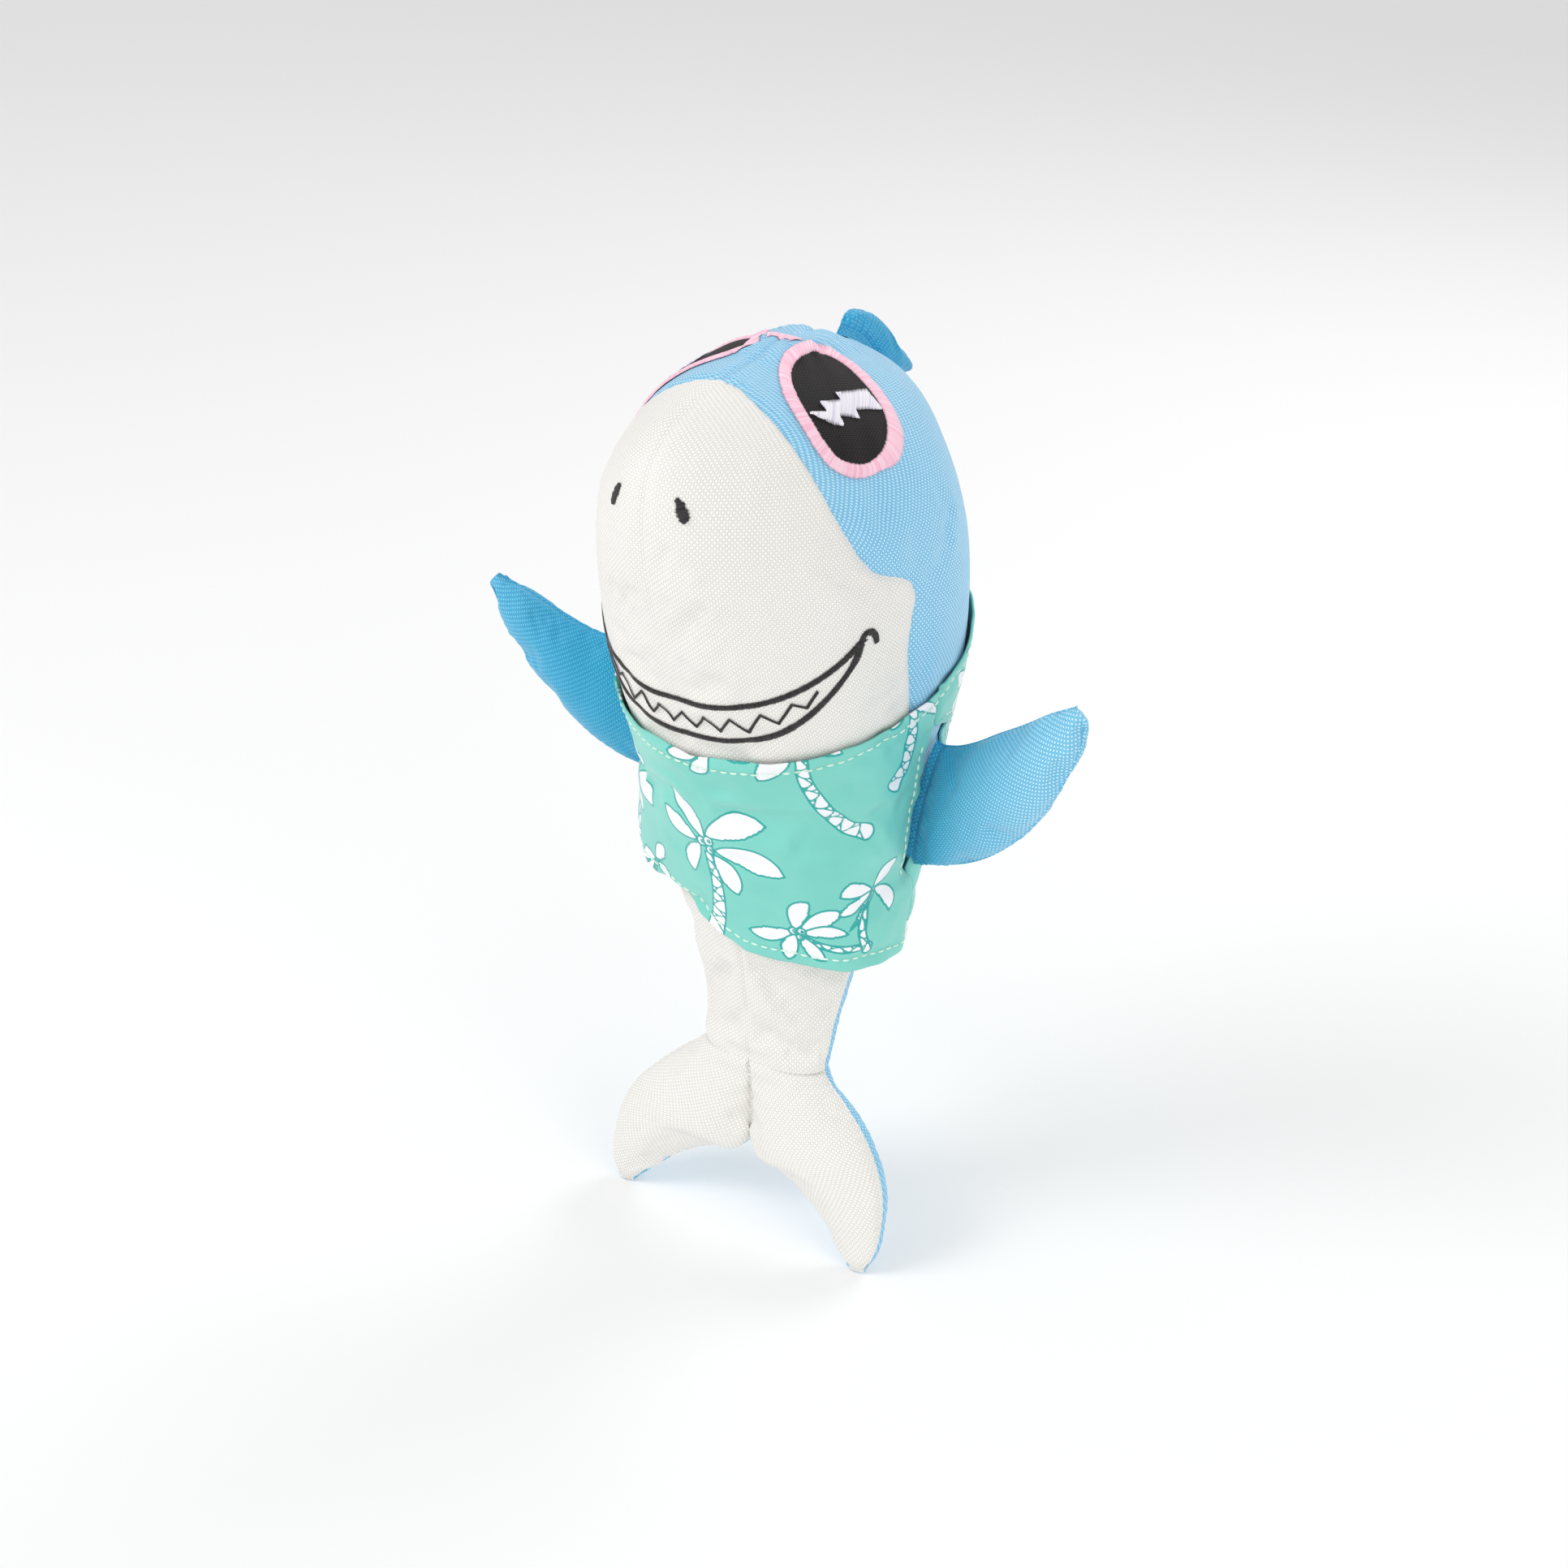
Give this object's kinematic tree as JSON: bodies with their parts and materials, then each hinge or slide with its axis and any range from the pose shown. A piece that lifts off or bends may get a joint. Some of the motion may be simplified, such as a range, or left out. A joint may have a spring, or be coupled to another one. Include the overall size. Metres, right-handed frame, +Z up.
{
  "type": "plush shark dog toy",
  "caption": "Upright stuffed shark of coarse woven cloth with swinging side fins, a bending tail with flukes, a folding back fin, a printed tank top and embroidered sunglasses.",
  "frame": {"origin": "middle of the footprint, at the level of the fluke tips", "axes": "+Z up the body to the head, -Y the way the belly faces, +X the shark's left"},
  "size_m": [0.2099, 0.1412, 0.2989],
  "materials": {
    "blue_cloth": "glossy coarse plain weave",
    "cream_cloth": "glossy coarse plain weave",
    "stuffing": "loose white polyester fibre",
    "shirt_cloth": "smooth fine print",
    "black_thread": "satin stitch",
    "lens_cloth": "plain weave patch",
    "pink_thread": "satin stitch",
    "white_thread": "satin stitch",
    "squeaker_plastic": "matte moulded"
  },
  "bodies": {
    "torso": {"belly_panel_left": "cream_cloth", "belly_panel_right": "cream_cloth", "back_panel_left": "blue_cloth", "back_panel_right": "blue_cloth", "body_stuffing": "stuffing", "squeaker_bulb": "squeaker_plastic", "squeaker_reed": "squeaker_plastic", "shirt_front": "shirt_cloth", "shirt_back": "shirt_cloth", "nostril_left": "black_thread", "nostril_right": "black_thread", "mouth_upper_line": "black_thread", "mouth_lower_line": "black_thread", "teeth_line": "black_thread", "mouth_corner_left": "black_thread", "mouth_corner_right": "black_thread", "lens_left": "lens_cloth", "lens_right": "lens_cloth", "glasses_frame_left": "pink_thread", "glasses_frame_right": "pink_thread", "glasses_bridge": "pink_thread", "glare_left": "white_thread", "glare_right": "white_thread"},
    "tail": {"tail_front_left": "cream_cloth", "tail_front_right": "cream_cloth", "tail_back_left": "blue_cloth", "tail_back_right": "blue_cloth", "tail_stuffing": "stuffing"},
    "flukes": {"fluke_front_left": "cream_cloth", "fluke_front_right": "cream_cloth", "fluke_back_left": "blue_cloth", "fluke_back_right": "blue_cloth", "fluke_stuffing": "stuffing"},
    "left_fin": {"left_fin_front": "blue_cloth", "left_fin_back": "blue_cloth", "left_fin_stuffing": "stuffing"},
    "right_fin": {"right_fin_front": "blue_cloth", "right_fin_back": "blue_cloth", "right_fin_stuffing": "stuffing"},
    "dorsal_fin": {"dorsal_fin_left": "blue_cloth", "dorsal_fin_right": "blue_cloth", "dorsal_fin_stuffing": "stuffing"}
  },
  "joints": [
    {"name": "tail_bend", "type": "hinge", "parent": "torso", "child": "tail", "pos_m": [0, 0.0162, 0.1088], "axis": [1, 0, 0], "range_deg": [-30, 30], "stiffness_Nm_per_rad": 0.15},
    {"name": "fluke_bend", "type": "hinge", "parent": "tail", "child": "flukes", "pos_m": [0, 0.0137, 0.0583], "axis": [1, 0, 0], "range_deg": [-35, 35], "stiffness_Nm_per_rad": 0.06},
    {"name": "left_fin_swing", "type": "hinge", "parent": "torso", "child": "left_fin", "pos_m": [0.04545, 0.0231, 0.15705], "axis": [0.1954, -0.0834, 0.9772], "range_deg": [-30, 30], "stiffness_Nm_per_rad": 0.05},
    {"name": "right_fin_swing", "type": "hinge", "parent": "torso", "child": "right_fin", "pos_m": [-0.04545, 0.0231, 0.15705], "axis": [-0.1954, -0.0834, 0.9772], "range_deg": [-30, 30], "stiffness_Nm_per_rad": 0.05},
    {"name": "dorsal_fold", "type": "hinge", "parent": "torso", "child": "dorsal_fin", "pos_m": [0, 0.04519, 0.28549], "axis": [0, -0.7161, 0.698], "range_deg": [-40, 40], "stiffness_Nm_per_rad": 0.02}
  ]
}
